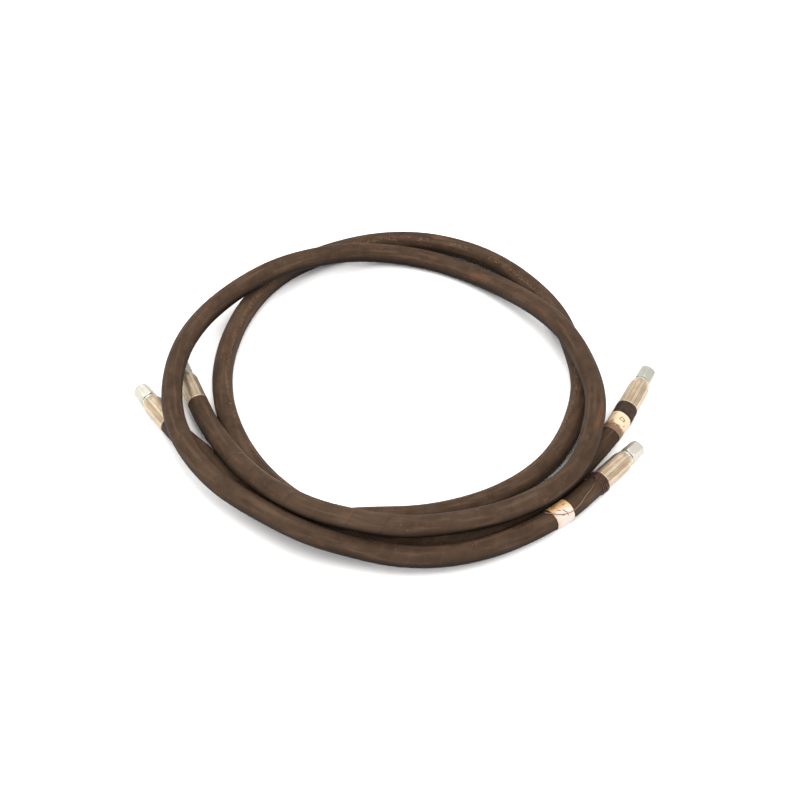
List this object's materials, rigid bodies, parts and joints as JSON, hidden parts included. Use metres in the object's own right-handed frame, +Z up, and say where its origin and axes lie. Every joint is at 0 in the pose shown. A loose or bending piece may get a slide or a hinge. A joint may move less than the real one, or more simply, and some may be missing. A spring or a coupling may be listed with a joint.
{
  "type": "hydraulic hose assembly",
  "caption": "Pair of flexible rubber hydraulic hoses, coiled one on the other, with crimped ferrules, sealing cones and swivel hex nuts at every end.",
  "frame": {"origin": "centre of the bounding box's footprint, on the surface the coils lie on", "axes": "+X along the coils' longest extent, towards the two ends that lie side by side; +Z up, the shortest extent; +Y completes the frame"},
  "size_m": [0.6568, 0.5888, 0.075],
  "materials": {
    "hose_cover": "dull brown-black rubber with a cloth-wrapped texture",
    "black_rubber": "smooth black rubber",
    "bright_steel": "bright steel",
    "yellow_zinc": "pale yellow zinc plating",
    "silver_zinc": "bright silver zinc plating",
    "label_paper": "aged cream label film",
    "dark_tape": "dark cloth tape",
    "rusty_wire": "reddish-brown soft wire"
  },
  "bodies": {
    "lower_hose": {"lower_cover": "hose_cover", "lower_wire_braid": "bright_steel", "lower_inner_tube": "black_rubber", "lower_ferrule_1": "yellow_zinc", "lower_nipple_1": "bright_steel", "lower_thrust_ring_1": "bright_steel", "lower_o_ring_1": "black_rubber", "lower_ferrule_2": "yellow_zinc", "lower_nipple_2": "bright_steel", "lower_thrust_ring_2": "bright_steel", "lower_o_ring_2": "black_rubber", "lower_label": "label_paper", "lower_tape_band": "dark_tape"},
    "upper_hose": {"upper_cover": "hose_cover", "upper_wire_braid": "bright_steel", "upper_inner_tube": "black_rubber", "upper_ferrule_1": "yellow_zinc", "upper_nipple_1": "bright_steel", "upper_thrust_ring_1": "bright_steel", "upper_o_ring_1": "black_rubber", "upper_ferrule_2": "yellow_zinc", "upper_nipple_2": "bright_steel", "upper_thrust_ring_2": "bright_steel", "upper_o_ring_2": "black_rubber", "upper_label": "label_paper", "tie_wire": "rusty_wire"},
    "upper_nut_1": {"upper_swivel_nut_1": "silver_zinc"},
    "upper_nut_2": {"upper_swivel_nut_2": "silver_zinc"},
    "lower_nut_1": {"lower_swivel_nut_1": "silver_zinc"},
    "lower_nut_2": {"lower_swivel_nut_2": "silver_zinc"}
  },
  "joints": [
    {"name": "upper_hose_lift", "type": "slide", "parent": "lower_hose", "child": "upper_hose", "axis": [0, 0, 1], "range_m": [0, 0.1]},
    {"name": "upper_nut_1_swivel", "type": "hinge", "parent": "upper_hose", "child": "upper_nut_1", "pos_m": [0.28632, -0.11362, 0.015], "axis": [0.682, 0.7314, 0], "continuous": true},
    {"name": "upper_nut_2_swivel", "type": "hinge", "parent": "upper_hose", "child": "upper_nut_2", "pos_m": [-0.27124, 0.02812, 0.0135], "axis": [-0.3907, 0.9205, 0], "continuous": true},
    {"name": "lower_nut_1_swivel", "type": "hinge", "parent": "lower_hose", "child": "lower_nut_1", "pos_m": [0.31517, 0.01579, 0.014], "axis": [0.454, 0.891, 0], "continuous": true},
    {"name": "lower_nut_2_swivel", "type": "hinge", "parent": "lower_hose", "child": "lower_nut_2", "pos_m": [-0.31447, -0.0148, 0.013], "axis": [-0.5878, 0.809, 0], "continuous": true}
  ]
}
